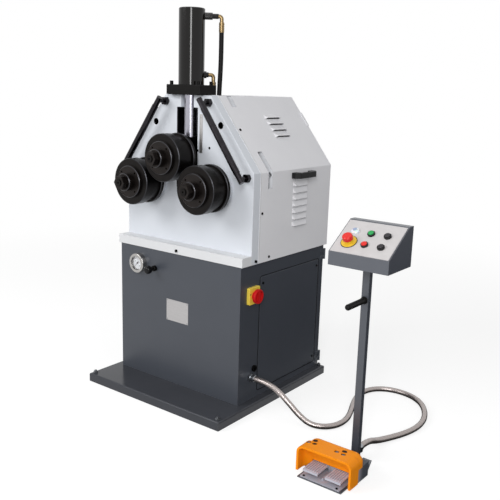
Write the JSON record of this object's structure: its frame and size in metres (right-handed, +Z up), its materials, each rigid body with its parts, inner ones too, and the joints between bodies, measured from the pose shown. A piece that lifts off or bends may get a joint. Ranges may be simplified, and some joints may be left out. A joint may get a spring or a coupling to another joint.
{
  "type": "roll bending machine",
  "caption": "Hydraulic roll bending machine with pyramid rolls on a sheet-steel cabinet, a vertical press cylinder, a louvred hood and a pedal stand on an armoured conduit.",
  "frame": {"origin": "on the floor under the middle of the base tray", "axes": "+X to the machine's right, +Y to its back, +Z up"},
  "size_m": [1.526, 0.9683, 1.765],
  "materials": {
    "plate_white": "smooth white enamel on machined plate",
    "ledge_white": "white enamel on folded sheet",
    "hood_grey": "light grey powder coat on folded sheet",
    "cabinet_grey": "dark blue-grey powder coat, fine texture",
    "stand_grey": "dark grey powder coat",
    "black_oxide": "oil-blacked turned steel",
    "black_paint": "satin black enamel",
    "turned_steel": "ground and turned steel",
    "hard_chrome": "polished hard chrome",
    "zinc": "zinc-plated steel",
    "brass": "plated brass fitting",
    "rubber": "matte black rubber",
    "black_plastic": "moulded black plastic",
    "panel_grey": "light grey printed sheet",
    "yellow_plastic": "moulded yellow plastic",
    "red_plastic": "moulded red plastic",
    "green_plastic": "moulded green plastic",
    "white_plastic": "moulded white lens",
    "orange_plastic": "moulded orange plastic",
    "pedal_grey": "moulded grey plastic",
    "dial_glass": "clear window",
    "bare_aluminium": "brushed aluminium plate",
    "motor_grey": "grey machine enamel",
    "conduit_steel": "braided steel over a flexible core"
  },
  "bodies": {
    "machine": {"base_tray": "cabinet_grey", "levelling_feet": "zinc", "cabinet_shell": "cabinet_grey", "side_panel": "cabinet_grey", "front_ledge": "ledge_white", "black_bolts": "black_oxide", "front_plate": "plate_white", "rear_frame": "plate_white", "hood": "hood_grey", "hood_handles": "black_plastic", "side_bars": "black_oxide", "blank_plates": "bare_aluminium", "slide_guides": "black_oxide", "cylinder_flange": "black_paint", "cylinder_barrel": "black_paint", "hose_elbows": "brass", "hydraulic_hoses": "rubber", "shaft_bearings": "black_oxide", "gearmotor": "motor_grey", "hydraulic_unit": "motor_grey", "gauge_case": "hard_chrome", "gauge_lens": "dial_glass", "main_switch_plate": "yellow_plastic", "panel_plugs": "black_oxide", "conduit_glands": "hard_chrome", "conduit": "conduit_steel", "stand_frame": "stand_grey", "stand_grip": "rubber", "console_box": "stand_grey", "console_panel": "panel_grey", "button_bezels": "black_plastic", "power_lamp": "white_plastic", "estop_collar": "yellow_plastic", "pedal_base": "pedal_grey", "pedal_guard": "orange_plastic"},
    "press_slide": {"slide_block": "black_oxide", "piston_rod": "hard_chrome"},
    "top_roll_set": {"top_shaft": "black_oxide", "top_roll": "black_oxide", "top_clamp": "black_oxide"},
    "left_roll_set": {"left_shaft": "black_oxide", "left_roll": "black_oxide", "left_clamp": "black_oxide", "left_gear": "turned_steel"},
    "right_roll_set": {"right_shaft": "black_oxide", "right_roll": "black_oxide", "right_clamp": "black_oxide", "right_gear": "turned_steel"},
    "pinion": {"drive_pinion": "turned_steel"},
    "door": {"rear_door": "cabinet_grey"},
    "main_switch": {"main_switch_knob": "red_plastic"},
    "pressure_valve": {"valve_knob": "black_plastic"},
    "pressure_needle": {"gauge_needle": "black_paint"},
    "emergency_stop": {"estop_button": "red_plastic"},
    "green_button": {"start_button": "green_plastic"},
    "red_button": {"stop_button": "red_plastic"},
    "upper_black_button": {"upper_button": "black_plastic"},
    "lower_black_button": {"lower_button": "black_plastic"},
    "left_foot_pedal": {"left_pedal": "pedal_grey"},
    "right_foot_pedal": {"right_pedal": "pedal_grey"}
  },
  "joints": [
    {"name": "right_roll_spin", "type": "hinge", "parent": "machine", "child": "right_roll_set", "pos_m": [0.195, 0, 1.004], "axis": [0, 1, 0], "continuous": true},
    {"name": "left_roll_spin", "type": "hinge", "parent": "machine", "child": "left_roll_set", "pos_m": [-0.195, 0, 1.004], "axis": [0, 1, 0], "continuous": true},
    {"name": "pinion_spin", "type": "hinge", "parent": "machine", "child": "pinion", "pos_m": [0, 0, 1.004], "axis": [0, 1, 0], "continuous": true},
    {"name": "press_stroke", "type": "slide", "parent": "machine", "child": "press_slide", "axis": [0, 0, 1], "range_m": [-0.04, 0.1]},
    {"name": "top_roll_spin", "type": "hinge", "parent": "press_slide", "child": "top_roll_set", "pos_m": [0, 0, 1.12596], "axis": [0, 1, 0], "continuous": true},
    {"name": "door_swing", "type": "hinge", "parent": "machine", "child": "door", "pos_m": [0.373, 0.436, 0.36], "axis": [0, 0, 1], "range_deg": [-110, 0]},
    {"name": "main_switch_turn", "type": "hinge", "parent": "machine", "child": "main_switch", "pos_m": [0.386, -0.16, 0.54], "axis": [1, 0, 0], "range_deg": [0, 90]},
    {"name": "pressure_valve_turn", "type": "hinge", "parent": "machine", "child": "pressure_valve", "pos_m": [-0.143, -0.281, 0.588], "axis": [0, 1, 0], "range_deg": [-360, 360]},
    {"name": "pressure_needle_swing", "type": "hinge", "parent": "machine", "child": "pressure_needle", "pos_m": [-0.246, -0.26, 0.599], "axis": [0, 1, 0], "range_deg": [0, 270], "stiffness_Nm_per_rad": 0.01, "springref_deg": -2.86},
    {"name": "emergency_stop_press", "type": "slide", "parent": "machine", "child": "emergency_stop", "axis": [0, -0.5584, 0.8295], "range_m": [-0.005, 0]},
    {"name": "green_button_press", "type": "slide", "parent": "machine", "child": "green_button", "axis": [0, -0.5584, 0.8295], "range_m": [-0.004, 0], "stiffness_N_per_m": 300, "springref_m": 0.002},
    {"name": "red_button_press", "type": "slide", "parent": "machine", "child": "red_button", "axis": [0, -0.5584, 0.8295], "range_m": [-0.004, 0], "stiffness_N_per_m": 300, "springref_m": 0.002},
    {"name": "upper_black_button_press", "type": "slide", "parent": "machine", "child": "upper_black_button", "axis": [0, -0.5584, 0.8295], "range_m": [-0.004, 0], "stiffness_N_per_m": 300, "springref_m": 0.002},
    {"name": "lower_black_button_press", "type": "slide", "parent": "machine", "child": "lower_black_button", "axis": [0, -0.5584, 0.8295], "range_m": [-0.004, 0], "stiffness_N_per_m": 300, "springref_m": 0.002},
    {"name": "left_pedal_press", "type": "hinge", "parent": "machine", "child": "left_foot_pedal", "pos_m": [0.918, -0.404, 0.024], "axis": [1, 0, 0], "range_deg": [0, 7], "stiffness_Nm_per_rad": 5, "springref_deg": -5.73},
    {"name": "right_pedal_press", "type": "hinge", "parent": "machine", "child": "right_foot_pedal", "pos_m": [1.016, -0.404, 0.024], "axis": [1, 0, 0], "range_deg": [0, 7], "stiffness_Nm_per_rad": 5, "springref_deg": -5.73}
  ],
  "couplings": [
    {"joint": "left_roll_spin", "follows": "right_roll_spin", "ratio": 1},
    {"joint": "pinion_spin", "follows": "right_roll_spin", "ratio": -1.6}
  ]
}
